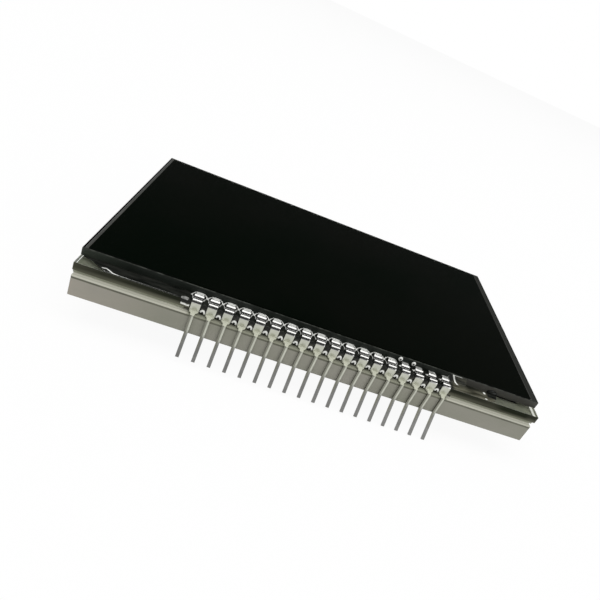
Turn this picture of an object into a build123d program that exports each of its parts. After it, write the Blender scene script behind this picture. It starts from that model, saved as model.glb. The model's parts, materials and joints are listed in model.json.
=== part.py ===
"""Pinned glass segment display with an edge-lit backlight.

The frame has +X along the lead row, +Y towards the back and +Z out of the viewing face.
The origin is the centre of the backlight's underside. All sizes are in millimetres.
"""

import os

from build123d import *

# Lead row
pin_count = 18
pin_pitch = 2.0
pin_stock = 0.2
pin_width = 1.15
leg_width = 0.45
jaw_width = 0.25
jaw_reach = 0.55
pin_glass_clearance = 0.08
leg_face_clearance = 0.06
leg_lean = 19.0
shortest_leg = 3.46
longest_leg = 4.22
leg_step_clearance = 0.03
leg_step_rise = 0.35
leg_bend_height = 0.37
pin_bend_radius = 0.16

# Contact finger, measured back from the ledge's front edge and up from the ledge
finger_crest_height = 0.34
finger_front_crest_end = 0.18
finger_contact_start = 0.42
finger_contact_end = 0.56
finger_tail_start = 0.8
finger_tail_end = 1.1

# Glass cell
glass_width = 63.1
top_glass_depth = 35.1
ledge_depth = 1.76
glass_thickness = 1.1
glass_edge_break = 0.05
cell_gap = 0.01
seal_inset = 0.45
seal_width = 1.0
fill_port_width = 4.0
dot_radius = 0.4
dot_edge_distance = 2.6
plug_length = 6.0
plug_height = 1.5
plug_bulge = 0.42

# Polarizing films
film_thickness = 0.2
film_left_inset = 0.72
film_right_inset = 1.4
film_front_inset = 0.12
film_back_inset = 0.9

# Tape frame between the glass and the backlight
tape_thickness = 0.25
tape_width = 1.3
tape_edge_inset = 0.4
tape_front_setback = 0.75
rear_film_gap = 0.2

# Backlight
housing_height = 2.4
housing_wall = 0.9
housing_floor = 0.4
housing_corner_radius = 0.2
housing_front_step = 0.78
housing_left_inset = 0.25
housing_right_inset = 0.77
housing_back_inset = 0.5
diffuser_thickness = 0.3
reflector_thickness = 0.1
fit_clearance = 0.1
guide_notch_length = 3.0
guide_notch_depth = 0.6
guide_notch_offset = 14.0
led_count = 4
led_pitch = 7.4
led_depth = 0.8
led_length = 3.0
led_height = 1.2
led_lens_depth = 0.15
led_lens_margin = 0.2
led_board_thickness = 0.5
led_board_length = 28.0
tab_spacing = 20.0
tab_width = 1.6
tab_length = 2.2
tab_thickness = 0.15

# Resin bead on the ledge
resin_left_gap = 0.7
resin_left_taper = 3.5
resin_right_gap = 6.4
resin_end_radius = 1.2
resin_valley_height = 0.1
resin_crest_height = 0.39
resin_back_height = 0.34
resin_middle_height = 0.2
resin_front_height = 0.1
resin_front_setback = 0.06
resin_brow_depth = 0.35
resin_skirt_drop = 0.85

# Levels above the backlight's underside
diffuser_level = housing_height
tape_level = diffuser_level + diffuser_thickness
bottom_glass_level = tape_level + tape_thickness
ledge_level = bottom_glass_level + glass_thickness
top_glass_level = ledge_level + cell_gap
top_film_level = top_glass_level + glass_thickness

# Plan positions
housing_width = glass_width - housing_left_inset - housing_right_inset
glass_left = -housing_width / 2 - housing_left_inset
glass_right = glass_left + glass_width
glass_centre_x = (glass_left + glass_right) / 2
housing_depth = housing_front_step + ledge_depth + top_glass_depth - housing_back_inset
housing_front = -housing_depth / 2
housing_back = housing_depth / 2
housing_right = housing_width / 2
ledge_front = housing_front + housing_front_step
top_glass_front = ledge_front + ledge_depth
glass_back = top_glass_front + top_glass_depth

# Positions inside the backlight
guide_level = housing_floor + reflector_thickness
guide_left = -housing_width / 2 + housing_wall + fit_clearance
board_right = housing_right - housing_wall - fit_clearance
board_left = board_right - led_board_thickness
led_face = board_left - led_depth
guide_right = led_face - led_lens_depth - fit_clearance
guide_front = housing_front + housing_wall + fit_clearance
guide_back = housing_back - housing_wall - fit_clearance
guide_height = housing_height - guide_level

# Lead positions
pin_plate_y = ledge_front - pin_glass_clearance - pin_stock / 2
pin_leg_y = housing_front - leg_face_clearance - pin_stock / 2
pin_crest_z = ledge_level + finger_crest_height
jaw_z = bottom_glass_level - pin_stock / 2
leg_step_z = tape_level + leg_step_clearance + pin_stock / 2
plate_foot_z = leg_step_z + leg_step_rise
resin_front = pin_plate_y - pin_stock / 2 + resin_front_setback
resin_crest_level = ledge_level + resin_crest_height
resin_skirt_level = ledge_level - resin_skirt_drop


def pin_x(index):
    """Centre of one lead along the row."""
    return glass_centre_x + (index - (pin_count - 1) / 2) * pin_pitch


def slab(left, right, front, back, level, thickness):
    """Flat plate between four plan edges, standing on a level."""
    plate = Box(right - left, back - front, thickness, align=(Align.MIN, Align.MIN, Align.MIN))
    return Pos(left, front, level) * plate


def make_glass(front, level):
    """Glass plate with its scribed edges lightly broken."""
    plate = slab(glass_left, glass_right, front, glass_back, level, glass_thickness)
    return chamfer(plate.edges(), glass_edge_break)


def make_top_polarizer():
    """Film on the viewing face, set in from the glass edges."""
    return slab(
        glass_left + film_left_inset,
        glass_right - film_right_inset,
        top_glass_front + film_front_inset,
        glass_back - film_back_inset,
        top_film_level,
        film_thickness,
    )


def tape_opening_plan():
    """Plan edges of the hole in the tape frame: left, right, front, back."""
    return (
        -housing_width / 2 + tape_edge_inset + tape_width,
        housing_width / 2 - tape_edge_inset - tape_width,
        ledge_front + tape_front_setback + tape_width,
        housing_back - tape_edge_inset - tape_width,
    )


def make_mounting_tape():
    """Tape frame under the glass, set back from the leads' lower jaws."""
    left, right, front, back = tape_opening_plan()
    opening = slab(left, right, front, back, tape_level, tape_thickness)
    frame = slab(
        left - tape_width,
        right + tape_width,
        front - tape_width,
        back + tape_width,
        tape_level,
        tape_thickness,
    )
    return frame - opening


def make_bottom_polarizer():
    """Film under the lower plate, inside the tape frame."""
    left, right, front, back = tape_opening_plan()
    return slab(
        left + rear_film_gap,
        right - rear_film_gap,
        front + rear_film_gap,
        back - rear_film_gap,
        bottom_glass_level - film_thickness,
        film_thickness,
    )


def seal_outer_plan():
    """Plan edges of the seal: left, right, front, back."""
    return (
        glass_left + seal_inset,
        glass_right - seal_inset,
        top_glass_front + seal_inset,
        glass_back - seal_inset,
    )


def cell_core():
    """Space inside the seal, with the filling port's channel out to the glass edge."""
    left, right, front, back = seal_outer_plan()
    inside = slab(
        left + seal_width,
        right - seal_width,
        front + seal_width,
        back - seal_width,
        ledge_level,
        cell_gap,
    )
    port_y = (front + back) / 2
    channel = slab(
        right - 2 * seal_width,
        right,
        port_y - fill_port_width / 2,
        port_y + fill_port_width / 2,
        ledge_level,
        cell_gap,
    )
    return inside + channel


def dot_group(radius):
    """Conductive dots near the four corners of the cell."""
    left, right, front, back = seal_outer_plan()
    dots = []
    for x in (left + dot_edge_distance, right - dot_edge_distance):
        for y in (front + dot_edge_distance, back - dot_edge_distance):
            disc = Cylinder(radius, cell_gap, align=(Align.CENTER, Align.CENTER, Align.MIN))
            dots.append(Pos(x, y, ledge_level) * disc)
    return dots


def make_perimeter_seal():
    """Epoxy frame between the plates, open at the filling port."""
    left, right, front, back = seal_outer_plan()
    return slab(left, right, front, back, ledge_level, cell_gap) - cell_core()


def make_liquid_crystal():
    """Layer that fills the cell round the conductive dots."""
    return cell_core() - dot_group(dot_radius)


def make_transfer_dots():
    """Four dots that join the upper plate's electrodes to the lower plate."""
    return Compound(children=dot_group(dot_radius))


def make_fill_port_plug():
    """Resin plug on the right edge of the glass, over the filling port."""
    outline = Ellipse(plug_length / 2, plug_bulge)
    right_half = Pos(plug_bulge, 0) * Rectangle(2 * plug_bulge, plug_length)
    half = right_half & (Rot(0, 0, 90) * outline)
    level = ledge_level + cell_gap / 2 - plug_height / 2
    return Pos(glass_right, (top_glass_front + glass_back) / 2, level) * extrude(half, plug_height)


def rounded_block(width, depth, height, radius):
    """Block on the ground with rounded upright corners."""
    return extrude(RectangleRounded(width, depth, radius), height)


def make_diffuser_sheet():
    """Pale sheet over the whole backlight, flush with its walls."""
    sheet = rounded_block(housing_width, housing_depth, diffuser_thickness, housing_corner_radius)
    return Pos(0, 0, diffuser_level) * sheet


def notch_centres():
    """Plan centres of the locating ribs on the two long walls."""
    wall_y = housing_depth / 2 - housing_wall
    places = []
    for x in (-guide_notch_offset, guide_notch_offset):
        for side in (-1, 1):
            places.append((x, side * (wall_y - guide_notch_depth / 2)))
    return places


def make_housing():
    """Open-topped tray with locating ribs and two supply-tab slots in its floor."""
    outer = rounded_block(housing_width, housing_depth, housing_height, housing_corner_radius)
    pocket = Box(
        housing_width - 2 * housing_wall,
        housing_depth - 2 * housing_wall,
        housing_height,
        align=(Align.CENTER, Align.CENTER, Align.MIN),
    )
    tray = outer - Pos(0, 0, housing_floor) * pocket
    for x, y in notch_centres():
        rib = Box(
            guide_notch_length,
            guide_notch_depth,
            guide_height,
            align=(Align.CENTER, Align.CENTER, Align.MIN),
        )
        tray += Pos(x, y, guide_level) * rib
    for x, y in tab_centres():
        slot = Box(
            tab_length + 2 * fit_clearance,
            tab_width + 2 * fit_clearance,
            housing_floor,
            align=(Align.CENTER, Align.CENTER, Align.MIN),
        )
        tray -= Pos(x, y, 0) * slot
    return tray


def make_light_guide():
    """Clear plate notched round the housing's ribs."""
    plate = slab(guide_left, guide_right, guide_front, guide_back, guide_level, guide_height)
    for x, y in notch_centres():
        notch = Box(
            guide_notch_length + 2 * fit_clearance,
            guide_notch_depth + 2 * fit_clearance,
            guide_height,
            align=(Align.CENTER, Align.CENTER, Align.MIN),
        )
        plate -= Pos(x, y, guide_level) * notch
    return plate


def make_reflector_film():
    """White film on the housing's floor, under the light guide."""
    return slab(
        guide_left,
        guide_right,
        guide_front,
        guide_back,
        housing_floor,
        reflector_thickness,
    )


def tab_centres():
    """Plan centres of the two supply tabs."""
    x = board_right - tab_length / 2
    return [(x, -tab_spacing / 2), (x, tab_spacing / 2)]


def make_supply_tab(y):
    """Tab flush with the floor's underside, bent up against the lamp strip's foot."""
    front = y - tab_width / 2
    back = y + tab_width / 2
    foot = slab(board_right - tab_length, board_right, front, back, 0, tab_thickness)
    riser = slab(board_right - tab_thickness, board_right, front, back, 0, guide_level)
    return foot + riser


def make_led_board():
    """Strip that stands on its edge against the right wall."""
    return slab(
        board_left,
        board_right,
        -led_board_length / 2,
        led_board_length / 2,
        guide_level,
        guide_height,
    )


def make_led(index):
    """Side-view lamp with its lens facing the light guide."""
    y = (index - (led_count - 1) / 2) * led_pitch
    level = guide_level + (guide_height - led_height) / 2
    body = slab(led_face, board_left, y - led_length / 2, y + led_length / 2, level, led_height)
    lens = slab(
        led_face - led_lens_depth,
        led_face,
        y - led_length / 2 + led_lens_margin,
        y + led_length / 2 - led_lens_margin,
        level + led_lens_margin,
        led_height - 2 * led_lens_margin,
    )
    return body + lens


def strip_along(points, width, radii):
    """Flat stock swept along a folded line in the YZ plane; a radius of 0 is a sharp fold."""
    path = FilletPolyline(*[(0, y, z) for y, z in points], radius=radii)
    start = Plane(origin=path @ 0, x_dir=(1, 0, 0), z_dir=path % 0)
    return sweep(start * Rectangle(width, pin_stock), path=path, transition=Transition.RIGHT)


def make_finger_and_plate():
    """Sprung contact finger on the ledge and the upright plate in front of the glass."""
    contact_z = ledge_level + pin_stock / 2
    points = [
        (ledge_front + finger_tail_end, pin_crest_z),
        (ledge_front + finger_tail_start, pin_crest_z),
        (ledge_front + finger_contact_end, contact_z),
        (ledge_front + finger_contact_start, contact_z),
        (ledge_front + finger_front_crest_end, pin_crest_z),
        (pin_plate_y, pin_crest_z),
        (pin_plate_y, plate_foot_z),
    ]
    return strip_along(points, pin_width, (0, 0, 0, 0, pin_bend_radius))


def make_jaw(side):
    """Lower jaw that hooks back under the glass beside the leg."""
    points = [
        (pin_plate_y, plate_foot_z),
        (pin_plate_y, jaw_z),
        (ledge_front + jaw_reach, jaw_z),
    ]
    offset = side * (pin_width - jaw_width) / 2
    return Pos(offset, 0, 0) * strip_along(points, jaw_width, (pin_bend_radius,))


def make_leg(index):
    """Narrow leg: over the backlight's step, down its face, then leaning forward."""
    share = index / (pin_count - 1)
    length = shortest_leg + (longest_leg - shortest_leg) * share
    tip = Vector(0, pin_leg_y, leg_bend_height) + Vector(0, 0, -length).rotate(Axis.X, -leg_lean)
    points = [
        (pin_plate_y, plate_foot_z + pin_bend_radius),
        (pin_plate_y, plate_foot_z - pin_stock / 2),
        (pin_leg_y, leg_step_z),
        (pin_leg_y, leg_bend_height),
        (tip.Y, tip.Z),
    ]
    return strip_along(points, leg_width, (0, pin_bend_radius, 0))


def make_pin(index):
    """One clip lead in its place in the row."""
    pin = make_finger_and_plate() + make_jaw(-1) + make_jaw(1) + make_leg(index)
    return Pos(pin_x(index), 0, 0) * pin


def resin_mounds():
    """Row of low mounds, one over each contact finger, cut to the bead's section."""
    valley = ledge_level + resin_valley_height
    half = pin_pitch / 2
    left = pin_x(0) - half
    right = pin_x(pin_count - 1) + half
    foot_left = (left, resin_skirt_level)
    foot_right = (right, resin_skirt_level)
    outline = [Polyline((left, valley), foot_left, foot_right, (right, valley))]
    for index in range(pin_count):
        x = pin_x(index)
        outline.append(ThreePointArc((x - half, valley), (x, resin_crest_level), (x + half, valley)))
    plane = Plane(origin=(0, resin_front, 0), x_dir=(1, 0, 0), z_dir=(0, -1, 0))
    row = extrude(plane * make_face(outline), top_glass_front - resin_front, dir=(0, 1, 0))
    return row & resin_brow(left, right)


def resin_brow(left, right):
    """Section of the mounds across the ledge, rounded over towards the front."""
    brow_end = (ledge_front + resin_brow_depth, resin_crest_level)
    brow_start = (resin_front, ledge_level)
    brow = TangentArc(brow_end, brow_start, tangent=(-1, 0))
    rest = Polyline(
        brow_end,
        (top_glass_front, resin_crest_level),
        (top_glass_front, resin_skirt_level),
        (resin_front, resin_skirt_level),
        brow_start,
    )
    plane = Plane(origin=(left, 0, 0), x_dir=(0, 1, 0), z_dir=(1, 0, 0))
    return extrude(plane * make_face([brow, rest]), right - left, dir=(1, 0, 0))


def resin_film():
    """Low bead on the ledge that runs on past the row at both ends."""
    left = glass_left + resin_left_gap
    right = glass_right - resin_right_gap
    front = ledge_front + glass_edge_break
    section = Polyline(
        (front, ledge_level),
        (front, ledge_level + resin_front_height),
        ((front + top_glass_front) / 2, ledge_level + resin_middle_height),
        (top_glass_front, ledge_level + resin_back_height),
        (top_glass_front, ledge_level),
        close=True,
    )
    plane = Plane(origin=(left, 0, 0), x_dir=(0, 1, 0), z_dir=(1, 0, 0))
    film = extrude(plane * make_face(section), right - left, dir=(1, 0, 0))
    return film & resin_film_plan(left, right, front)


def resin_film_plan(left, right, front):
    """Outline of the low bead from above: aslant at the left, rounded at the right."""
    outline = Polygon(
        (left, top_glass_front),
        (left + resin_left_taper, front),
        (right, front),
        (right, top_glass_front),
        align=None,
    )
    corner = outline.vertices().sort_by(Axis.X)[-2:].sort_by(Axis.Y)[0]
    return Pos(0, 0, ledge_level) * extrude(fillet(corner, resin_end_radius), glass_thickness)


def make_contact_resin(pins, glass):
    """Bead that seals the leads to the ledge."""
    return resin_mounds() + resin_film() - glass - pins


parts_folder = "parts"


def save(name, shape):
    """Write one named piece."""
    shape.label = name
    export_step(shape, os.path.join(parts_folder, name + ".step"))


os.makedirs(parts_folder, exist_ok=True)
top_glass = make_glass(top_glass_front, top_glass_level)
bottom_glass = make_glass(ledge_front, bottom_glass_level)
pins = [make_pin(index) for index in range(pin_count)]
save("top_polarizer", make_top_polarizer())
save("top_glass", top_glass)
save("bottom_glass", bottom_glass)
save("perimeter_seal", make_perimeter_seal())
save("liquid_crystal", make_liquid_crystal())
save("transfer_dots", make_transfer_dots())
save("fill_port_plug", make_fill_port_plug())
save("bottom_polarizer", make_bottom_polarizer())
save("contact_resin", make_contact_resin(pins, [top_glass, bottom_glass]))
save("mounting_tape", make_mounting_tape())
save("diffuser_sheet", make_diffuser_sheet())
save("light_guide", make_light_guide())
save("reflector_film", make_reflector_film())
save("backlight_housing", make_housing())
save("led_board", make_led_board())
for index in range(led_count):
    save(f"led_{index + 1:02d}", make_led(index))
save("cathode_tab", make_supply_tab(-tab_spacing / 2))
save("anode_tab", make_supply_tab(tab_spacing / 2))
for index, pin in enumerate(pins):
    save(f"pin_{index + 1:02d}", pin)
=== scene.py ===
"""Looks of the pinned glass segment display.

Dresses the CAD nodes in procedural materials, builds the bonded layers, the tape, the folded clip
leads and the resin bead in place of theirs, then sets up the floor, the light and the camera.
The part's sizes are in millimetres, times MM for Blender. The floor and the lamps are in metres.
"""

import json
import math

import bmesh
import bpy
import numpy as np
from mathutils import Matrix, Vector


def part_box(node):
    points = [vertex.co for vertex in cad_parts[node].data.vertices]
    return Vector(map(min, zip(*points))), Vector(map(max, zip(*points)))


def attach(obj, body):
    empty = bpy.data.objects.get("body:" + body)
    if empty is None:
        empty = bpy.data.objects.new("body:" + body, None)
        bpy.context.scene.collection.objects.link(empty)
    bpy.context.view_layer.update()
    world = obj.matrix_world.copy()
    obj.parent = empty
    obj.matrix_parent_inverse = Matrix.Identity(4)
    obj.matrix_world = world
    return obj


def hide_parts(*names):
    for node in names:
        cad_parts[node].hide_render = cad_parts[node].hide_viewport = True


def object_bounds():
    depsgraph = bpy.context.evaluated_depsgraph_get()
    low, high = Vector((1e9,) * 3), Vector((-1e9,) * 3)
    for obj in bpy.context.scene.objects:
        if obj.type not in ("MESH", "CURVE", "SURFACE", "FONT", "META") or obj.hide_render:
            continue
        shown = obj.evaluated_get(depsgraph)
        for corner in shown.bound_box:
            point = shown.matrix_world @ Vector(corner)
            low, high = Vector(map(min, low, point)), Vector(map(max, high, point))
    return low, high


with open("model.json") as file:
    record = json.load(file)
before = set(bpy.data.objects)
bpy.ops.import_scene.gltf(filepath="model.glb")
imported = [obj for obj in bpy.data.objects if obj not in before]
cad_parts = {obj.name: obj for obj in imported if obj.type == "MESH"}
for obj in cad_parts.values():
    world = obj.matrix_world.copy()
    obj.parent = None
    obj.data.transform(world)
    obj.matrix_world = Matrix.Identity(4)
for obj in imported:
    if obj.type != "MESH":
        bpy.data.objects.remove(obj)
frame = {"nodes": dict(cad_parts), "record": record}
cad_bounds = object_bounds()
nodes = frame["nodes"]

MM = 0.001


def span(node_name):
    """Lowest and highest corner of a node at rest, in millimetres."""
    low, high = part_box(node_name)
    return low / MM, high / MM


lower_plate_low, lower_plate_high = span("bottom_glass")
upper_plate_low, upper_plate_high = span("top_glass")
LEDGE = lower_plate_high.z
LEDGE_FRONT = lower_plate_low.y
GLASS_FACE = upper_plate_low.y
LEDGE_DEPTH = GLASS_FACE - LEDGE_FRONT
GLASS_FOOT = lower_plate_low.z

PIN_NAMES = sorted(name for name in nodes if name.startswith("pin_"))
PIN_CENTRES = []
for pin_name in PIN_NAMES:
    pin_low, pin_high = span(pin_name)
    PIN_CENTRES.append((pin_low.x + pin_high.x) / 2)
PIN_PITCH = PIN_CENTRES[1] - PIN_CENTRES[0]


# Colour sockets of Blender's mix node, which has other sockets for numbers and vectors.
MIX_LOW, MIX_HIGH, MIX_RESULT = 6, 7, 2


class Shader:
    """A procedural material built round one Principled shader."""

    def __init__(self, name, **constants):
        self.material = bpy.data.materials.new(name)
        self.material.use_nodes = True
        self.tree = self.material.node_tree
        self.bsdf = self.tree.nodes["Principled BSDF"]
        coordinates = self.tree.nodes.new("ShaderNodeTexCoord")
        self.position = coordinates.outputs["Object"]
        split = self.tree.nodes.new("ShaderNodeSeparateXYZ")
        self.link(self.position, split.inputs["Vector"])
        self.x, self.y, self.z = split.outputs
        for socket, value in constants.items():
            self.bsdf.inputs[socket.replace("_", " ")].default_value = value

    def link(self, source, target):
        self.tree.links.new(source, target)

    def noise(self, size_mm, detail=3.0, stretch=(1, 1, 1)):
        """Noise with features of about size_mm, drawn out along each axis by its stretch."""
        mapping = self.tree.nodes.new("ShaderNodeMapping")
        mapping.inputs["Scale"].default_value = [1 / (size_mm * MM * s) for s in stretch]
        texture = self.tree.nodes.new("ShaderNodeTexNoise")
        texture.inputs["Scale"].default_value = 1.0
        texture.inputs["Detail"].default_value = detail
        self.link(self.position, mapping.inputs["Vector"])
        self.link(mapping.outputs["Vector"], texture.inputs["Vector"])
        return texture.outputs["Fac"]

    def attribute(self, name):
        node = self.tree.nodes.new("ShaderNodeAttribute")
        node.attribute_name = name
        return node.outputs["Fac"]

    def combine(self, operation, first, second):
        node = self.tree.nodes.new("ShaderNodeMath")
        node.operation = operation
        self.link(first, node.inputs[0])
        self.link(second, node.inputs[1])
        return node.outputs[0]

    def multiply(self, first, second):
        return self.combine("MULTIPLY", first, second)

    def add(self, first, second):
        return self.combine("ADD", first, second)

    def rise(self, source, low, high):
        """0 below low, 1 above high."""
        return self.value(source, low, high, 0.0, 1.0)

    def fall(self, source, low, high):
        """1 below low, 0 above high."""
        return self.value(source, low, high, 1.0, 0.0)

    def band(self, source, rise, fall, peak=1.0):
        """Peak between the end of the rise and the start of the fall, 0 outside them."""
        return self.multiply(self.value(source, *rise, 0.0, peak), self.fall(source, *fall))

    def blend(self, share, colour_low, colour_high):
        """Mix of two colours by a share from 0 to 1."""
        return self.ramp(share, 0.0, 1.0, colour_low, colour_high)

    def ramp(self, source, low, high, colour_low, colour_high):
        """Colour that runs from one value of source to another."""
        mix = self.tree.nodes.new("ShaderNodeMix")
        mix.data_type = "RGBA"
        self.link(self.value(source, low, high, 0.0, 1.0), mix.inputs["Factor"])
        for socket, colour in ((MIX_LOW, colour_low), (MIX_HIGH, colour_high)):
            if isinstance(colour, tuple):
                mix.inputs[socket].default_value = (*colour, 1)
            else:
                self.link(colour, mix.inputs[socket])
        return mix.outputs[MIX_RESULT]

    def value(self, source, low, high, out_low, out_high):
        """Number that runs from one value of source to another."""
        spread = self.tree.nodes.new("ShaderNodeMapRange")
        for socket, number in (
            ("From Min", low),
            ("From Max", high),
            ("To Min", out_low),
            ("To Max", out_high),
        ):
            spread.inputs[socket].default_value = number
        self.link(source, spread.inputs["Value"])
        return spread.outputs["Result"]

    def colour(self, source):
        self.link(source, self.bsdf.inputs["Base Color"])

    def roughness(self, source):
        self.link(source, self.bsdf.inputs["Roughness"])

    def bump(self, height, depth_mm):
        node = self.tree.nodes.new("ShaderNodeBump")
        node.inputs["Strength"].default_value = 1.0
        node.inputs["Distance"].default_value = depth_mm * MM
        self.link(height, node.inputs["Height"])
        self.link(node.outputs["Normal"], self.bsdf.inputs["Normal"])


def polarizing_film():
    """Almost black film with a faint green cast and a satin face."""
    shader = Shader("polarizing_film", Specular_IOR_Level=0.05)
    green, brown = (0.0008, 0.0022, 0.0010), (0.0020, 0.0028, 0.0018)
    shader.colour(shader.ramp(shader.noise(18, 2), 0.35, 0.65, green, brown))
    shader.roughness(shader.value(shader.noise(0.6), 0.3, 0.7, 0.14, 0.22))
    shader.bump(shader.noise(0.25), 0.0015)
    return shader.material


# Display glass: clear plates with ground front edges painted with light and shade, sides painted dark
# with shade, a painted highlight along the upper plate's top front edge and a matt border by the
# film.

GLASS_LEFT, GLASS_RIGHT = upper_plate_low.x * MM, upper_plate_high.x * MM
FILM_LEFT, FILM_RIGHT = (corner.x * MM for corner in span("top_polarizer"))
SIDE_WIDTH = 0.26 * MM
HAIR = 0.04 * MM
LOWER_EDGE_DEPTH = (LEDGE_FRONT + 0.04) * MM, (LEDGE_FRONT + 0.07) * MM
UPPER_EDGE_DEPTH = (GLASS_FACE + 0.03) * MM, (GLASS_FACE + 0.05) * MM


def lower_plate_colour(shader, clear):
    """Clear plate with a ground front edge, painted paler towards its foot with the light that comes
    through it, and darker near its right end.
    """
    foot, ledge = GLASS_FOOT * MM, LEDGE * MM
    pale, dark = (0.18, 0.18, 0.135), (0.013, 0.015, 0.008)
    # Painted light: the ground edge runs from pale at its foot to dark towards the ledge.
    ground = shader.ramp(shader.z, foot, ledge - 0.45 * MM, pale, dark)
    streaks = shader.noise(2.5, stretch=(4, 1, 1))
    ground = shader.ramp(streaks, 0.45, 0.75, ground, (0.05, 0.05, 0.035))
    # Darker patch near the right end.
    dark_patch = shader.multiply(
        shader.band(
            shader.x,
            (GLASS_RIGHT - 7 * MM, GLASS_RIGHT - 5.5 * MM),
            (GLASS_RIGHT - 1.9 * MM, GLASS_RIGHT - 1.2 * MM),
        ),
        shader.rise(shader.z, foot + 0.15 * MM, foot + 0.55 * MM),
    )
    ground = shader.blend(dark_patch, ground, (0.010, 0.013, 0.005))
    tinted = (0.77, 0.78, 0.72)
    body = shader.ramp(shader.x, GLASS_RIGHT - 1.2 * MM, GLASS_RIGHT - 1.0 * MM, clear, tinted)
    return shader.ramp(shader.y, *LOWER_EDGE_DEPTH, ground, body)


def upper_plate_colour(shader, clear):
    """Clear plate with sides painted dark with shade and a front edge painted with the shade seen
    through it, painted paler at both ends.
    """
    # Painted shade: the plate's sides are tinted almost black.
    painted_light = (0.03, 0.032, 0.03)
    left, right = GLASS_LEFT + SIDE_WIDTH, GLASS_RIGHT - SIDE_WIDTH
    body = shader.ramp(shader.x, left, left + HAIR, painted_light, clear)
    body = shader.ramp(shader.x, right - HAIR, right, body, painted_light)
    # Painted shade on the front edge, painted paler towards both ends.
    streaks = shader.noise(1.5, stretch=(5, 1, 1))
    painted_front_shade = shader.ramp(streaks, 0.4, 0.7, (0.010, 0.014, 0.010), (0.024, 0.028, 0.024))
    teal, olive = (0.034, 0.042, 0.032), (0.066, 0.065, 0.056)
    painted_front_shade = shader.ramp(shader.x, GLASS_LEFT + 1.5 * MM, GLASS_LEFT + 6 * MM, teal, painted_front_shade)
    painted_front_shade = shader.ramp(shader.x, GLASS_RIGHT - 13 * MM, GLASS_RIGHT - 11 * MM, painted_front_shade, olive)
    return shader.ramp(shader.y, *UPPER_EDGE_DEPTH, painted_front_shade, body)


def display_glass():
    shader = Shader("display_glass", IOR=1.52)
    clear = shader.ramp(shader.noise(6, 2), 0.3, 0.7, (0.92, 0.95, 0.91), (0.95, 0.97, 0.94))
    top = upper_plate_high.z * MM
    on_top = shader.rise(shader.z, top - 0.05 * MM, top - 0.04 * MM)
    near_face = shader.fall(shader.y, (GLASS_FACE + 0.13) * MM, (GLASS_FACE + 0.14) * MM)
    corner = shader.multiply(on_top, near_face)
    left_side = shader.band(
        shader.x,
        (GLASS_LEFT + SIDE_WIDTH, GLASS_LEFT + SIDE_WIDTH + HAIR),
        (FILM_LEFT + 0.03 * MM, FILM_LEFT + 0.05 * MM),
    )
    right_side = shader.band(
        shader.x,
        (FILM_RIGHT - 0.05 * MM, FILM_RIGHT - 0.03 * MM),
        (GLASS_RIGHT - SIDE_WIDTH, GLASS_RIGHT - SIDE_WIDTH + HAIR),
    )
    border = shader.multiply(on_top, shader.add(left_side, right_side))

    scribed = shader.noise(1.2, stretch=(1, 5, 1))
    grey = shader.ramp(scribed, 0.3, 0.7, (0.045, 0.046, 0.042), (0.085, 0.086, 0.080))
    line_end = FILM_RIGHT + 0.28 * MM
    grey = shader.ramp(shader.x, line_end, line_end + 0.06 * MM, grey, (0.026, 0.027, 0.024))
    # Painted highlight: a dashed grey line along the upper plate's top front edge.
    painted_edge_glint = shader.ramp(shader.noise(0.7), 0.4, 0.65, (0.018, 0.020, 0.017), (0.075, 0.080, 0.070))
    upper = shader.blend(border, upper_plate_colour(shader, clear), grey)
    upper = shader.blend(corner, upper, painted_edge_glint)
    in_upper = shader.rise(shader.z, (LEDGE + 0.002) * MM, (LEDGE + 0.006) * MM)
    shader.colour(shader.blend(in_upper, lower_plate_colour(shader, clear), upper))

    lower_edge = shader.fall(shader.y, *LOWER_EDGE_DEPTH)
    upper_edge = shader.multiply(in_upper, shader.value(shader.y, *UPPER_EDGE_DEPTH, 0.8, 0.0))
    matt = shader.add(shader.add(lower_edge, upper_edge), shader.add(corner, border))
    shader.link(shader.fall(matt, 0.0, 1.0), shader.bsdf.inputs["Transmission Weight"])
    shine = shader.value(matt, 0.0, 1.0, 0.32, 0.06)
    shader.link(shine, shader.bsdf.inputs["Specular IOR Level"])
    fine = shader.value(shader.noise(0.8), 0.35, 0.65, 0.0, 0.03)
    shader.roughness(shader.add(fine, shader.value(matt, 0.0, 1.0, 0.0, 0.5)))
    return shader.material


def plain(name, colour, other, rough=0.5, size=0.5, bump=0.004, **constants):
    """Moulded, printed or coated surface with a fine grain and a slight change of shade."""
    shader = Shader(name, **constants)
    shader.colour(shader.ramp(shader.noise(size * 8), 0.3, 0.7, colour, other))
    shader.roughness(shader.value(shader.noise(size), 0.3, 0.7, rough - 0.05, rough + 0.05))
    shader.bump(shader.noise(size * 0.4), bump)
    return shader.material


def sealing_resin():
    """Glossy black resin, olive where it is thin, with painted highlights in pale lines, dots and
    rings.
    """
    shader = Shader("sealing_resin", IOR=1.5, Specular_IOR_Level=0.12)
    streaks = shader.noise(0.5, stretch=(5, 1, 1))
    body = shader.ramp(streaks, 0.35, 0.7, (0.005, 0.006, 0.005), (0.022, 0.023, 0.020))
    film = shader.ramp(streaks, 0.35, 0.65, (0.026, 0.026, 0.018), (0.125, 0.122, 0.090))
    body = shader.blend(shader.attribute("thin"), body, film)
    mottle = shader.value(shader.noise(0.35), 0.3, 0.55, 0.75, 1.0)
    # Painted highlights: pale where the bead's vertices are marked, broken up by a mottle.
    painted_light = shader.multiply(shader.attribute("painted_light"), mottle)
    shader.colour(shader.ramp(painted_light, 0.25, 0.8, body, (0.86, 0.87, 0.83)))
    shader.roughness(shader.value(shader.noise(0.4), 0.3, 0.7, 0.05, 0.12))
    shader.bump(shader.noise(0.5), 0.006)
    return shader.material


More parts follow.
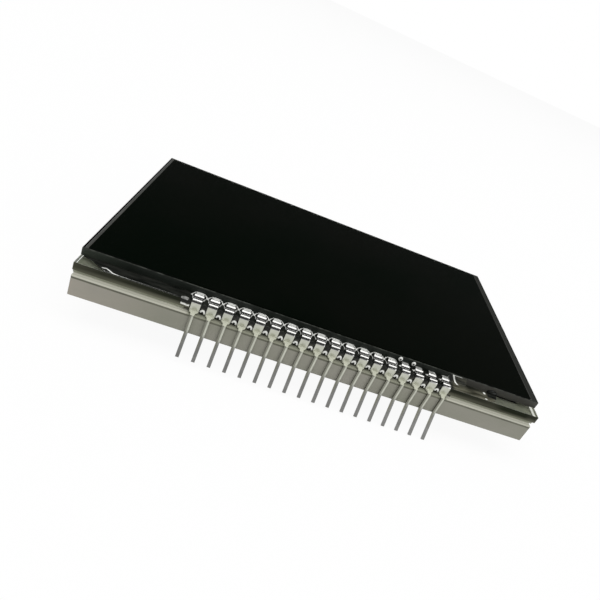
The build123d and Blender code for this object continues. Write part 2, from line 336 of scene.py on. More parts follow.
def diffuser_film():
    """Pale sheet with a darker cut edge, painted shadow under the row of leads, and a faint darker
    line.
    """
    shader = Shader("diffuser_film", Roughness=0.6)
    low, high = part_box("diffuser_sheet")
    scuffs = shader.noise(1.5, stretch=(6, 1, 1))
    face = shader.ramp(scuffs, 0.3, 0.7, (0.44, 0.44, 0.37), (0.50, 0.495, 0.42))
    row_left, row_right = (PIN_CENTRES[0] - 0.5) * MM, (PIN_CENTRES[-1] + 0.5) * MM
    soft = 0.3 * MM
    in_row = shader.band(shader.x, (row_left - soft, row_left), (row_right, row_right + soft))
    # Painted shadow of the leads and the resin on the face under the row.
    face = shader.blend(in_row, face, (0.245, 0.25, 0.19))
    # Faint darker line along the face.
    darker_line_y = low.y + 0.36 * MM
    line = shader.band(
        shader.y,
        (darker_line_y - 0.05 * MM, darker_line_y),
        (darker_line_y + 0.06 * MM, darker_line_y + 0.12 * MM),
        peak=0.55,
    )
    face = shader.blend(line, face, (0.22, 0.22, 0.17))
    edge = shader.ramp(shader.noise(1.2), 0.3, 0.7, (0.085, 0.085, 0.058), (0.130, 0.130, 0.092))
    edge_top = high.z - 0.07 * MM
    shader.colour(shader.ramp(shader.z, edge_top, edge_top + 0.05 * MM, edge, face))
    shader.bump(shader.noise(0.3), 0.003)
    return shader.material


def housing_plastic():
    """Moulded plastic, warmer and paler towards its left end."""
    shader = Shader("housing_plastic", Roughness=0.55)
    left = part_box("backlight_housing")[0].x
    warm, cool = (0.365, 0.33, 0.275), (0.232, 0.232, 0.183)
    body = shader.ramp(shader.x, left, left + 11 * MM, warm, cool)
    clouds = shader.noise(5, stretch=(2, 1, 1))
    shader.colour(shader.ramp(clouds, 0.35, 0.75, body, (0.275, 0.265, 0.225)))
    shader.bump(shader.noise(0.2), 0.005)
    return shader.material


def tinned_metal():
    """Tin plating: dull on the legs, matt at the leg's step, burnished on the finger, with painted
    shade on the leg's left half and painted light at the plate's foot.
    """
    shader = Shader("tinned_metal")
    blotches = shader.noise(0.9)
    plating = shader.ramp(blotches, 0.3, 0.7, (0.49, 0.50, 0.43), (0.57, 0.58, 0.50))
    dull = shader.ramp(blotches, 0.3, 0.7, (0.21, 0.21, 0.20), (0.26, 0.26, 0.25))
    body = shader.ramp(shader.z, -0.2 * MM, 0.8 * MM, dull, plating)
    burnished = (LEDGE + 0.05) * MM, (LEDGE + 0.10) * MM
    body = shader.ramp(shader.z, *burnished, body, (0.45, 0.45, 0.435))
    # Painted light where the fold at the plate's foot shades the metal: paler and less metallic
    # there.
    step = shader.band(shader.z, (2.78 * MM, 2.84 * MM), (3.24 * MM, 3.36 * MM))
    painted_foot_light = shader.multiply(shader.attribute("foot"), step)
    shader.link(shader.value(painted_foot_light, 0.0, 1.0, 1.0, 0.15), shader.bsdf.inputs["Metallic"])
    body = shader.blend(painted_foot_light, body, (0.52, 0.53, 0.43))
    # Painted shade on the leg's left half.
    shade = shader.rise(shader.attribute("shade"), 0.4, 0.6)
    shader.colour(shader.blend(shade, body, (0.23, 0.23, 0.19)))
    grain = shader.value(shader.noise(0.5), 0.3, 0.7, 0.0, 0.08)
    polish = shader.value(shader.z, *burnished, 0.34, 0.16)
    shoulder = shader.band(
        shader.z,
        (2.74 * MM, 2.80 * MM),
        ((GLASS_FOOT + 0.10) * MM, (GLASS_FOOT + 0.20) * MM),
        peak=0.36,
    )
    shader.roughness(shader.add(shader.add(polish, shoulder), grain))
    shader.bump(shader.noise(0.4, stretch=(1, 1, 6)), 0.00015)
    return shader.material


MATERIALS = {
    "polarizing_film": polarizing_film(),
    "display_glass": display_glass(),
    "sealing_resin": sealing_resin(),
    "diffuser_film": diffuser_film(),
    "housing_plastic": housing_plastic(),
    "tinned_metal": tinned_metal(),
    "seal_epoxy": plain("seal_epoxy", (0.10, 0.10, 0.095), (0.14, 0.14, 0.13)),
    "cell_fluid": plain("cell_fluid", (0.006, 0.007, 0.006), (0.010, 0.011, 0.010), 0.3),
    "silver_paste": plain("silver_paste", (0.40, 0.40, 0.38), (0.52, 0.52, 0.50), 0.4, Metallic=0.7),
    "adhesive_tape": plain("adhesive_tape", (0.26, 0.27, 0.20), (0.32, 0.33, 0.26)),
    "guide_acrylic": plain("guide_acrylic", (0.80, 0.83, 0.80), (0.86, 0.88, 0.86), 0.15),
    "reflector_film": plain("reflector_film", (0.82, 0.82, 0.82), (0.88, 0.88, 0.88), 0.2),
    "lamp_board": plain("lamp_board", (0.70, 0.70, 0.64), (0.78, 0.78, 0.72), 0.4),
    "lamp_body": plain("lamp_body", (0.80, 0.76, 0.45), (0.86, 0.82, 0.55), 0.3),
}

node_slots = {part["node"]: part["material_slot"] for part in frame["record"]["subparts"]}


def dress(obj, slot_name):
    """Gives an object the material of a slot as its only one."""
    obj.data.materials.clear()
    obj.data.materials.append(MATERIALS[slot_name])


for node_name, node in nodes.items():
    dress(node, node_slots[node_name])


def add_piece(name, mesh, *replaced):
    """New piece on the object's body that stands for CAD nodes with one material slot."""
    piece = bpy.data.objects.new(name, mesh)
    bpy.context.scene.collection.objects.link(piece)
    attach(piece, "root")
    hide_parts(*replaced)
    dress(piece, node_slots[replaced[0]])
    return piece


def laminate(node_name, grow_down_mm, grow_up_mm):
    """Copy of a thin inner layer that reaches a hair into the plates, as a bonded layer does."""
    low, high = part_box(node_name)
    mesh = nodes[node_name].data.copy()
    middle = (low.z + high.z) / 2
    for vertex in mesh.vertices:
        vertex.co.z += grow_up_mm * MM if vertex.co.z > middle else -grow_down_mm * MM
    add_piece(node_name + "_bonded", mesh, node_name)


# How far a bonded layer reaches into the plate beside it.
BOND = 0.01
DOT_BOND = 0.012

laminate("perimeter_seal", BOND, BOND)
laminate("liquid_crystal", BOND, BOND)
laminate("transfer_dots", DOT_BOND, DOT_BOND)
laminate("bottom_polarizer", 0.0, BOND)


def cut_sheet(xs, ys, kept, low, high):
    """Closed sheet made of the kept cells of a grid, all sizes in millimetres."""
    mesh = bmesh.new()
    corners = {}

    def corner(i, j, level):
        if (i, j, level) not in corners:
            corners[i, j, level] = mesh.verts.new((xs[i] * MM, ys[j] * MM, level * MM))
        return corners[i, j, level]

    for i, j in kept:
        ring = [(i, j), (i + 1, j), (i + 1, j + 1), (i, j + 1)]
        mesh.faces.new([corner(*place, high) for place in ring])
        mesh.faces.new([corner(*place, low) for place in reversed(ring)])
        beside = [(i, j - 1), (i + 1, j), (i, j + 1), (i - 1, j)]
        for side, (start, end) in enumerate(zip(ring, ring[1:] + ring[:1])):
            if beside[side] not in kept:
                around = [(*start, low), (*end, low), (*end, high), (*start, high)]
                mesh.faces.new([corner(*place) for place in around])
    return mesh


TAPE_LEFT_SETBACK = 0.14
TAPE_RIGHT_SETBACK = 0.42
TAPE_FRONT_SETBACK = 0.03
PAD_CLEARANCE = 1.3
WINDOW_MARGIN = 0.15


def mounting_tape():
    """Tape frame with a pad at each end of the front, clear of the leads' lower jaws."""
    low, high = span("mounting_tape")
    window_low, window_high = span("bottom_polarizer")
    xs = [
        lower_plate_low.x + TAPE_LEFT_SETBACK,
        window_low.x - WINDOW_MARGIN,
        PIN_CENTRES[0] - PAD_CLEARANCE,
        PIN_CENTRES[-1] + PAD_CLEARANCE,
        window_high.x + WINDOW_MARGIN,
        lower_plate_high.x - TAPE_RIGHT_SETBACK,
    ]
    ys = [
        LEDGE_FRONT + TAPE_FRONT_SETBACK,
        low.y,
        window_low.y - WINDOW_MARGIN,
        window_high.y + WINDOW_MARGIN,
        high.y,
    ]
    kept = {(i, j) for i in range(5) for j in range(4)}
    kept -= {(2, 0)} | {(i, 2) for i in (1, 2, 3)}
    mesh = cut_sheet(xs, ys, kept, low.z, high.z + BOND)
    data = bpy.data.meshes.new("mounting_tape_bonded")
    mesh.to_mesh(data)
    mesh.free()
    add_piece("mounting_tape_bonded", data, "mounting_tape")


mounting_tape()


# Clip leads, folded from one flat blank each. Heights are above the backlight's underside.

STOCK = 0.2
HALF_WIDTH = 0.575
JAW_INNER = 0.325
LEG_HALF = 0.225
PLATE_Y = LEDGE_FRONT - 0.18
PLATE_HEAD_Z = LEDGE + 0.20
PLATE_FOOT_Z = 3.04
JAW_Z = GLASS_FOOT - STOCK / 2
JAW_REACH = 0.55
JAW_RADIUS = 0.16
LEG_STEP_Z = 2.77
LEG_Y = span("backlight_housing")[0].y - 0.16
LEG_BEND_Z = 0.37
LEG_LEAN = math.radians(19.0)
SHADE_FOOT_Z = 0.2
CORNER_STEPS = 6

# Corners of the finger from its tail to its crest, back from the ledge's front edge and up from
# the ledge, and the radii of the folds from its second corner to the plate's head.
FINGER = [(1.16, 0.415), (0.92, 0.29), (0.72, STOCK / 2), (0.48, STOCK / 2), (0.215, 0.40)]
FINGER_RADII = (0.16, 0.14, 0.13, 0.14, 0.45)

# Shoulder between the plate and the leg: shares of the way out, the width at each as a share of
# the gap between the jaws, and the radii of the folds from the shoulder to the leg's bend.
STEP_SHARES = (0.10, 0.32, 0.52)
STEP_FLARES = (1.68, 1.5, 0.85)
LEG_RADII = (0.02, 0.001, 0.001, 0.14, 0.3)


def rounded_path(corners, radii):
    """Points along straight runs in the YZ plane, with each inner corner turned as an arc."""
    corners = [Vector(corner) for corner in corners]
    points = [corners[0]]
    for before, corner, after, radius in zip(corners, corners[1:], corners[2:], radii):
        back = (before - corner).normalized()
        ahead = (after - corner).normalized()
        turn = math.pi - back.angle(ahead)
        centre = corner + (back + ahead).normalized() * radius / math.cos(turn / 2)
        start = corner + back * radius * math.tan(turn / 2) - centre
        end = corner + ahead * radius * math.tan(turn / 2) - centre
        for step in range(CORNER_STEPS + 1):
            share = step / CORNER_STEPS
            spoke = start * math.sin((1 - share) * turn) + end * math.sin(share * turn)
            points.append(centre + spoke / math.sin(turn))
    points.append(corners[-1])
    return points


def fold(mesh, first_row, offsets, path, flare=None):
    """Faces that carry a row of vertices on along a path; returns the last row."""
    row = first_row
    middle = (offsets[0] + offsets[-1]) / 2
    for y, z in path:
        wider = np.interp(y, *zip(*flare)) if flare else 1.0
        spread = [middle + (x - middle) * wider for x in offsets]
        next_row = [mesh.verts.new((x * MM, y * MM, z * MM)) for x in spread]
        for near, far in zip(zip(row, row[1:]), zip(next_row, next_row[1:])):
            mesh.faces.new((near[0], near[1], far[1], far[0]))
        row = next_row
    return row


def lead_blank(centre, tip_z):
    """Middle surface of one lead, folded: finger and plate, two lower jaws, leg."""
    columns = (-HALF_WIDTH, -JAW_INNER, -LEG_HALF, LEG_HALF, JAW_INNER, HALF_WIDTH)
    offsets = [centre + column for column in columns]
    foot_corner = (PLATE_Y, PLATE_FOOT_Z)
    finger = rounded_path(
        [(LEDGE_FRONT + back, LEDGE + up) for back, up in FINGER]
        + [(PLATE_Y, PLATE_HEAD_Z), foot_corner],
        FINGER_RADII,
    )
    jaw = rounded_path(
        [foot_corner, (PLATE_Y, JAW_Z), (LEDGE_FRONT + JAW_REACH, JAW_Z)], (JAW_RADIUS,)
    )
    drop = LEG_BEND_Z - tip_z - STOCK / 2 * math.sin(LEG_LEAN)
    step = [
        (PLATE_Y + (LEG_Y - PLATE_Y) * share, PLATE_FOOT_Z + (LEG_STEP_Z - PLATE_FOOT_Z) * share)
        for share in STEP_SHARES
    ]
    leg = rounded_path(
        [
            foot_corner,
            *step,
            (LEG_Y, LEG_STEP_Z),
            (LEG_Y, LEG_BEND_Z),
            (LEG_Y - drop * math.tan(LEG_LEAN), LEG_BEND_Z - drop),
        ],
        LEG_RADII,
    )
    flares = [(y, flare) for (y, _), flare in zip(step, STEP_FLARES)]
    shoulder = [(LEG_Y + 0.02, LEG_HALF / JAW_INNER), *reversed(flares)]
    mesh = bmesh.new()
    first = [mesh.verts.new((x * MM, finger[0].x * MM, finger[0].y * MM)) for x in offsets]
    foot = fold(mesh, first, offsets, finger[1:])
    fold(mesh, foot[:2], offsets[:2], jaw[1:])
    fold(mesh, foot[1:5], offsets[1:5], leg[1:], shoulder)
    fold(mesh, foot[4:], offsets[4:], jaw[1:])
    bmesh.ops.recalc_face_normals(mesh, faces=mesh.faces)
    for face in mesh.faces:
        face.smooth = True
    return mesh


def mark_lead(data, centre):
    """Marks the leg's left half for painted shade, and the columns that get painted light at the
    plate's foot.
    """
    shade = data.attributes.new("shade", "FLOAT", "POINT")
    foot = data.attributes.new("foot", "FLOAT", "POINT")
    for vertex in data.vertices:
        across, along, height = vertex.co.x / MM - centre, vertex.co.y / MM, vertex.co.z / MM
        if along < LEG_Y + 0.05 and height > SHADE_FOOT_Z:
            shade.data[vertex.index].value = 0.5 - across / LEG_HALF / 2
        if along < PLATE_Y - 0.01 or abs(across) < JAW_INNER + 0.01:
            foot.data[vertex.index].value = 1.0


def clip_lead(name, centre):
    """One stamped lead: sprung finger, upright plate, two lower jaws and a leaning leg."""
    mesh = lead_blank(centre, span(name)[0].z)
    data = bpy.data.meshes.new(name + "_stamped")
    mesh.to_mesh(data)
    mesh.free()
    mark_lead(data, centre)
    piece = add_piece(name + "_stamped", data, name)
    thick = piece.modifiers.new("thickness", "SOLIDIFY")
    thick.thickness = STOCK * MM
    thick.offset = 0.0
    thick.use_even_offset = True
    edge = piece.modifiers.new("broken_edges", "BEVEL")
    edge.width = 0.004 * MM
    edge.segments = 2
    edge.limit_method = "ANGLE"
    edge.angle_limit = math.radians(45)
    piece.modifiers.new("flat_shading", "WEIGHTED_NORMAL")


for pin_name, pin_centre in zip(PIN_NAMES, PIN_CENTRES):
    clip_lead(pin_name, pin_centre)


# Resin bead, a skin built in columns along x. The rows of a column run from the upper plate's
# face to the ledge's front edge, over the bead's brow and down its skirt. Places in a column are
# measured inward from the ledge's front edge and up from the ledge.

FIRST, LAST = PIN_CENTRES[0], PIN_CENTRES[-1]
BEAD_LEFT, BEAD_RIGHT = -30.9, 25.4
ARCS_END = 10.0
LEDGE_ROWS = 28
BROW_ROWS = 5
SKIRT_ROWS = 18
SUNK = 0.01
FILM = 0.07
MOUND_HALF = 0.84
SMEAR_TOP = 1.05
ARCH_FOOT = -1.20

# Bead's edge left of the row: x, distance inward.
LEFT_PLAN = [
    (BEAD_LEFT, 1.70), (-29.9, 1.45), (-29.2, 1.07), (-28.5, 0.68), (-28.1, 0.5), (-27.9, 0.12),
]
# Resin level at a finger: distance inward, height.
FILL = [
    (-0.2, 0.02), (0.0, 0.10), (0.2, 0.22), (0.34, 0.22), (0.5, 0.15), (0.72, 0.15),
    (0.85, 0.22), (1.0, 0.30), (1.16, 0.42), (1.3, 0.44), (1.5, 0.40), (1.76, 0.30),
]
# Painted highlight in a line beside a finger: distance inward, with its distance aside or its
# strength.
SIDE_TRACK = [(0.5, 0.66), (0.95, 0.74), (1.30, 1.0), (1.76, 0.78)]
SIDE_STRENGTH = [(0.5, 0), (0.6, 0.55), (1.1, 0.65), (1.25, 1.0)]
# Painted highlight in a wave at the bead's left end: x, distance inward.
WAVE = [(-28.35, 0.56), (-27.83, 0.72), (-27.3, 0.44), (-26.84, 0.17), (-26.4, 0.14)]
WAVE_RETURN = [(-28.0, 0.2), (-27.7, 0.08)]
# Strength of the painted highlight along the front, left of the row: x, strength.
FRONT_LINE = [(-26.4, 0.95), (-24.5, 0.55), (FIRST - 2, 0.40)]
# Painted highlight dots beside the drop at the right end: x, distance inward.
DOTS = [(23.45, 1.29), (23.44, 0.12)]
DOT_RADIUS = 0.19
# Painted highlight in a trace beside the last lead but one.
TRACE_X = PIN_CENTRES[-2] + 0.40


def bead_columns():
    """Column positions, close together where the bead has fine forms."""
    row_left, row_right = FIRST - 2.1, LAST + 2.3
    parts = [
        np.arange(BEAD_LEFT, -28.7, 0.2),
        np.arange(-28.7, -26.0, 0.06),
        np.arange(-26.0, row_left, 0.2),
        np.arange(row_left, row_right, 0.05),
        np.arange(row_right, BEAD_RIGHT, 0.12),
        [BEAD_RIGHT],
    ]
    return np.concatenate(parts)


def rise(value, low, high):
    """Smooth change from 0 at low to 1 at high."""
    share = np.clip((value - low) / (high - low), 0, 1)
    return share * share * (3 - 2 * share)


def fall(value, low, high):
    """Smooth change from 1 at low to 0 at high."""
    return 1 - rise(value, low, high)


def lump(value, centre, half_width):
    """Bell curve with its peak of 1 at the centre."""
    return np.exp(-(((value - centre) / half_width) ** 2))


def look_up(value, table):
    """Number for value, read between the pairs of a table."""
    return np.interp(value, *zip(*table))


def join(*heights):
    """Largest of several heights, with a smooth change from one to the next."""
    return sum(np.maximum(height, 0) ** 3 for height in heights) ** (1 / 3)


def front_edge(x):
    """Distance from the ledge's front edge at which the bead's lip begins."""
    left = look_up(x, LEFT_PLAN) * fall(x, FIRST - 2.0, FIRST - 1.7)
    past = np.clip((x - (BEAD_RIGHT - 1.3)) / 1.3, 0, 1)
    right = 0.12 * rise(x, LAST + 0.9, LAST + 1.2)
    return left + right + 1.5 * (1 - np.sqrt(1 - past**2))


class Columns:
    """What each column of the bead takes from its place along the row of leads.

    offset and aside are its distance from the nearest lead's centre, with and without a sign, and
    edge is where its lip begins. The rest say how strongly a form or a mark shows in it.
    """

    def __init__(self, x):
        centres = np.array(PIN_CENTRES)
        nearest = np.abs(x[:, None] - centres[None, :]).argmin(axis=1)
        self.x = x
        self.offset = x - centres[nearest]
        self.aside = np.abs(self.offset)
        self.between = lump(self.aside, PIN_PITCH / 2, 0.26)
        self.in_row = rise(x, FIRST - 2.05, FIRST - 1.85) * fall(x, LAST + 0.62, LAST + 0.85)
        self.arcs = self.in_row * fall(x, ARCS_END, ARCS_END + 0.4)
        self.smear = rise(x, LAST + 0.38, LAST + 0.5) * fall(x, LAST + 2.9, LAST + 3.7)
        self.streaky = rise(x, LAST + 0.9, LAST + 1.6)
        self.left_patch = 0.42 * rise(x, FIRST - 2.02, FIRST - 1.95)
        self.left_patch *= fall(x, FIRST - 1.1, FIRST - 0.95)
        self.edge = front_edge(x)


def ledge_rows(columns):
    """Rows on the ledge: how far from the upper plate, how far inward and how high each point is.

    The last array given back is the height at which the resin meets the plate.
    """
    x, aside, smear = columns.x, columns.aside, columns.smear
    end_taper = rise(x, -30.95, -30.2) * fall(x, BEAD_RIGHT - 0.5, BEAD_RIGHT + 0.05)
    mounds = np.sqrt(np.clip(1 - (aside / MOUND_HALF) ** 2, 0, 1))
    contact = np.maximum(0.08 * end_taper + 0.25 * mounds, SMEAR_TOP * smear)
    share = (np.arange(LEDGE_ROWS) / (LEDGE_ROWS - 1))[:, None] ** 1.25
    from_glass = -SUNK + (LEDGE_DEPTH + SUNK - columns.edge) * share
    inward = LEDGE_DEPTH - from_glass
    film = FILM * np.minimum(end_taper + 0.25, 1) * np.ones_like(inward)
    meniscus = (contact - film) * np.exp(-np.maximum(from_glass, 0) / (0.22 - 0.12 * smear))
    beside = np.where(aside <= HALF_WIDTH, 1, np.exp(-(aside - HALF_WIDTH) / 0.12))
    valley = 0.13 * columns.between * columns.in_row * fall(inward, 0.9, 1.45)
    left_lump = 0.20 * lump(x, FIRST - 1.45, 0.42) * fall(inward, 0.2, 0.9)
    height = film + join(meniscus, look_up(inward, FILL) * beside - film, valley, left_lump)
    return from_glass, inward, height, contact


def row_lines(columns, from_glass, inward, height, contact):
    """Painted highlights over and beside the leads."""
    x, aside, arcs = columns.x, columns.aside, columns.arcs
    side_line = look_up(inward, SIDE_STRENGTH) * lump(aside, look_up(inward, SIDE_TRACK), 0.11) * arcs
    up_glass = np.hypot(from_glass, contact - height)
    arc_share = arcs * (aside < MOUND_HALF) + 0.4 * columns.smear * (x > LAST + 0.6)
    arc_line = lump(up_glass, 0, 0.17) * np.clip(arc_share, 0, 1)
    # Painted reflection on the resin behind each finger's end.
    cap = fall(aside, 0.44, 0.58) * rise(inward, 1.18, 1.24) * columns.in_row
    cap *= np.interp(x, [ARCS_END, ARCS_END + 0.4], [0.72, 0.48])
    ticks = 1.2 * lump(inward, 1.0, 0.12) * lump(columns.offset, -0.76, 0.22) * columns.in_row
    ticks *= x > ARCS_END + 0.4
    trace = 0.75 * lump(x, TRACE_X, 0.11) * (inward > 1.25)
    return [side_line, arc_line, cap, ticks, trace, columns.left_patch * (inward < 0.3)]


def end_lines(columns, from_glass, inward, height):
    """Painted highlights left and right of the row: front line, wave, slanting line, dots and end."""
    x = columns.x
    slant = LAST + 1.0 + 0.55 * (SMEAR_TOP - height) + 0.72 * from_glass
    slant_width = 0.14 + 0.10 * np.clip(from_glass, 0, 0.6)
    slant_line = lump(x - slant, 0, slant_width) * (from_glass < 0.6) * (x > LAST + 0.38)
    top_line = 1.2 * (height > 0.93) * (x > LAST + 1.1) * (x < LAST + 2.4)
    from_dots = [np.hypot(x - dot_x, inward - dot_inward) for dot_x, dot_inward in DOTS]
    dots = 1.3 * lump(np.min(from_dots, axis=0), 0, DOT_RADIUS)
    left_front = rise(x, -26.6, -26.2) * fall(x, FIRST - 2.5, FIRST - 2.0)
    front_line = look_up(x, FRONT_LINE) * lump(inward, 0.09, 0.10) * left_front
    wave = lump(inward, look_up(x, WAVE), 0.10) * (x > -28.4) * (x < -26.3)
    back = 0.8 * lump(inward, look_up(x, WAVE_RETURN), 0.07) * (x > -28.0) * (x < -26.8)
    end = 0.4 * lump(inward, columns.edge, 0.07) * rise(x, BEAD_RIGHT - 1.2, BEAD_RIGHT - 0.9)
    return [slant_line, top_line, dots, front_line, wave, back, end]


def brow_rows(columns, lip, reach):
    """Rows that turn over the ledge's front edge."""
    angle = (np.arange(1, BROW_ROWS + 1) / BROW_ROWS * math.pi / 2)[:, None]
    turn = rise(angle, 0, math.pi / 2)
    radius = lip * (1 - turn) + reach * turn
    # Painted highlight on the brow left of the row.
    pale = columns.left_patch * (angle < 1.2)
    return columns.edge - radius * np.sin(angle), radius * np.cos(angle), pale


def skirt_rows(columns, reach):
    """Rows down the lower plate's front, with a painted glint in an arch between each two leads."""
    x, in_row = columns.x, columns.in_row
    hang = np.interp(x, [FIRST - 0.6, FIRST - 0.3], [0.80, 1.27]) * in_row
    down = (np.arange(1, SKIRT_ROWS + 1) / SKIRT_ROWS)[:, None] * np.ones_like(x)
    closing = np.sqrt(np.clip(1 - np.clip((down - 0.72) / 0.28, 0, 1) ** 2, 0, 1))
    y = columns.edge - reach * (closing * in_row + (1 - in_row))
    z = -down * hang

    from_middle = columns.offset - np.where(columns.offset > 0, 1, -1) * PIN_PITCH / 2
    above_foot = np.maximum(z - ARCH_FOOT, 0)
    outside = (from_middle / 0.38) ** 2 + (above_foot / 0.73) ** 2
    inside = (from_middle / 0.16) ** 2 + (above_foot / 0.42) ** 2
    arch = fall(outside, 0.8, 1.2) * rise(inside, 0.7, 1.4) * (x > FIRST) * (x < LAST)
    arch *= np.maximum(rise(from_middle, -0.09, -0.01), rise(z, -1.05, -0.95))
    # Painted highlight in a bar left of the row.
    left_bar = (x > FIRST - 1.82) * (x < FIRST - 0.72) * lump(z, -0.60, 0.21)
    pale = np.maximum(arch, left_bar * (down < 0.97))
    thin = 0.6 * lump(from_middle, 0, 0.25) * lump(z, -0.38, 0.12) * (columns.aside < 1.1)
    return y, z, pale, np.maximum(thin, columns.streaky)


def bead_surface(x):
    """Points of the bead's outer and inner skin, its painted highlights and its thinness, rows by
    columns.
    """
    columns = Columns(x)
    edge, in_row, streaky = columns.edge, columns.in_row, columns.streaky
    from_glass, inward, height, contact = ledge_rows(columns)
    pale = np.max(
        row_lines(columns, from_glass, inward, height, contact)
        + end_lines(columns, from_glass, inward, height),
        axis=0,
    )
    clear_of_drop = 1 - rise(x, 23.7, 23.95) * rise(inward, 0.6, 0.9)
    thin = streaky * clear_of_drop * np.interp(inward, [0.9, 1.45], [1.0, 0.40])

    lip = height[-1]
    plates = rise(columns.aside, HALF_WIDTH - 0.03, HALF_WIDTH + 0.02)
    belly = 0.07 + plates * (0.07 + 0.09 * columns.between)
    reach = lip * (1 - in_row) + belly * in_row
    brow_y, brow_z, brow_pale = brow_rows(columns, lip, reach)
    skirt_y, skirt_z, skirt_pale, skirt_thin = skirt_rows(columns, reach)

    y = np.concatenate([inward, brow_y, skirt_y])
    z = np.concatenate([height, brow_z, skirt_z])
    pale = np.concatenate([pale, brow_pale, skirt_pale])
    thin = np.concatenate([thin, streaky * np.ones_like(brow_y), skirt_thin])
    under_brow = edge + SUNK * in_row - (1 - in_row) * (edge - brow_y)
    core_y = np.concatenate([inward, under_brow, skirt_y * (1 - in_row) + SUNK * in_row])
    on_ledge = np.full_like(np.concatenate([inward, brow_y]), -SUNK)
    return y, z, pale, thin, core_y, np.concatenate([on_ledge, skirt_z - SUNK])


DROP_RINGS = 12
DROP_SPOKES = 24

# Drops on the upper plate's face: centre, half sizes and strength of the painted highlight ring round
# the middle.
DROPS = [
    ((10.46, GLASS_FACE, LEDGE + 0.66), (0.30, 0.14, 0.36), 1.0),
    ((12.44, GLASS_FACE, LEDGE + 0.56), (0.30, 0.14, 0.36), 1.0),
    ((24.70, GLASS_FACE, LEDGE + 0.22), (0.80, 0.34, 0.44), 0.0),
]


def drop(centre, radii, ring):
    """Rounded drop against the upper plate's face: points, faces and a painted highlight ring."""
    polar = (np.arange(1, DROP_RINGS) / DROP_RINGS * math.pi)[:, None]
    turn = (np.arange(DROP_SPOKES) / DROP_SPOKES * 2 * math.pi)[None, :]
    x = (np.sin(polar) * np.cos(turn)).ravel()
    y = (-np.cos(polar) * np.ones_like(turn)).ravel()
    z = (np.sin(polar) * np.sin(turn)).ravel()
    unit = np.vstack([[0, -1, 0], np.stack([x, y, z], axis=-1), [0, 1, 0]])
    points = np.array(centre) + unit * np.array(radii)
    points[:, 1] = np.minimum(points[:, 1], GLASS_FACE + SUNK)
    points[:, 2] = np.maximum(points[:, 2], LEDGE - SUNK)
    band = 1 + np.arange((DROP_RINGS - 1) * DROP_SPOKES).reshape(DROP_RINGS - 1, DROP_SPOKES)
    after = np.roll(band, -1, axis=1)
    tip = len(unit) - 1
    faces = [[0, a, b] for a, b in zip(band[0], after[0])]
    faces += [[tip, b, a] for a, b in zip(band[-1], after[-1])]
    faces += np.stack([band[:-1], band[1:], after[1:], after[:-1]], axis=-1).reshape(-1, 4).tolist()
    from_axis = np.hypot(unit[:, 0], unit[:, 2])
    return points, faces, ring * rise(from_axis, 0.3, 0.55) * (unit[:, 1] < 0.3)


def skin_faces(rows, columns):
    """Quads of a closed shell of two skins, numbered rows by columns, the outer one first."""
    outer = np.arange(rows * columns).reshape(rows, columns)
    inner = outer + rows * columns

    def quads(a, b, c, d):
        return np.stack([a, b, c, d], axis=-1).reshape(-1, 4)

    faces = [
        quads(outer[:-1, :-1], outer[1:, :-1], outer[1:, 1:], outer[:-1, 1:]),
        quads(inner[:-1, :-1], inner[:-1, 1:], inner[1:, 1:], inner[1:, :-1]),
        quads(outer[0, :-1], outer[0, 1:], inner[0, 1:], inner[0, :-1]),
        quads(outer[-1, :-1], inner[-1, :-1], inner[-1, 1:], outer[-1, 1:]),
        quads(outer[:-1, 0], inner[:-1, 0], inner[1:, 0], outer[1:, 0]),
        quads(outer[:-1, -1], outer[1:, -1], inner[1:, -1], inner[:-1, -1]),
    ]
    return np.concatenate(faces).tolist()


def resin_bead():
    """Bead and drops as one closed-skinned piece, marked where highlights are painted and where it is
    thin.
    """
    x = bead_columns()
    y, z, pale, thin, core_y, core_z = bead_surface(x)
    across = np.broadcast_to(x, y.shape)
    skin = np.stack([across, y + LEDGE_FRONT, z + LEDGE], axis=-1).reshape(-1, 3)
    core = np.stack([across, core_y + LEDGE_FRONT, core_z + LEDGE], axis=-1).reshape(-1, 3)
    points, faces = [skin, core], skin_faces(*y.shape)
    painted_lights = [pale.ravel(), np.zeros(y.size)]
    for centre, radii, ring in DROPS:
        drop_points, drop_faces, drop_pale = drop(centre, radii, ring)
        start = sum(len(group) for group in points)
        faces += [[start + int(corner) for corner in face] for face in drop_faces]
        points.append(drop_points)
        painted_lights.append(drop_pale)
    points, painted_lights = np.concatenate(points) * MM, np.concatenate(painted_lights)
    thins = np.zeros(len(points))
    thins[: y.size] = thin.ravel()
    data = bpy.data.meshes.new("resin_bead")
    data.from_pydata(points.tolist(), [], faces)
    for name, values in (("painted_light", painted_lights), ("thin", thins)):
        data.attributes.new(name, "FLOAT", "POINT").data.foreach_set("value", values)
    mesh = bmesh.new()
    mesh.from_mesh(data)
    bmesh.ops.remove_doubles(mesh, verts=mesh.verts, dist=0.0015 * MM)
    bmesh.ops.dissolve_degenerate(mesh, edges=mesh.edges, dist=0.0005 * MM)
    bmesh.ops.recalc_face_normals(mesh, faces=mesh.faces)
    for face in mesh.faces:
        face.smooth = True
    mesh.to_mesh(data)
    mesh.free()
    add_piece("resin_bead", data, "contact_resin")


resin_bead()


# Floor, light and camera.


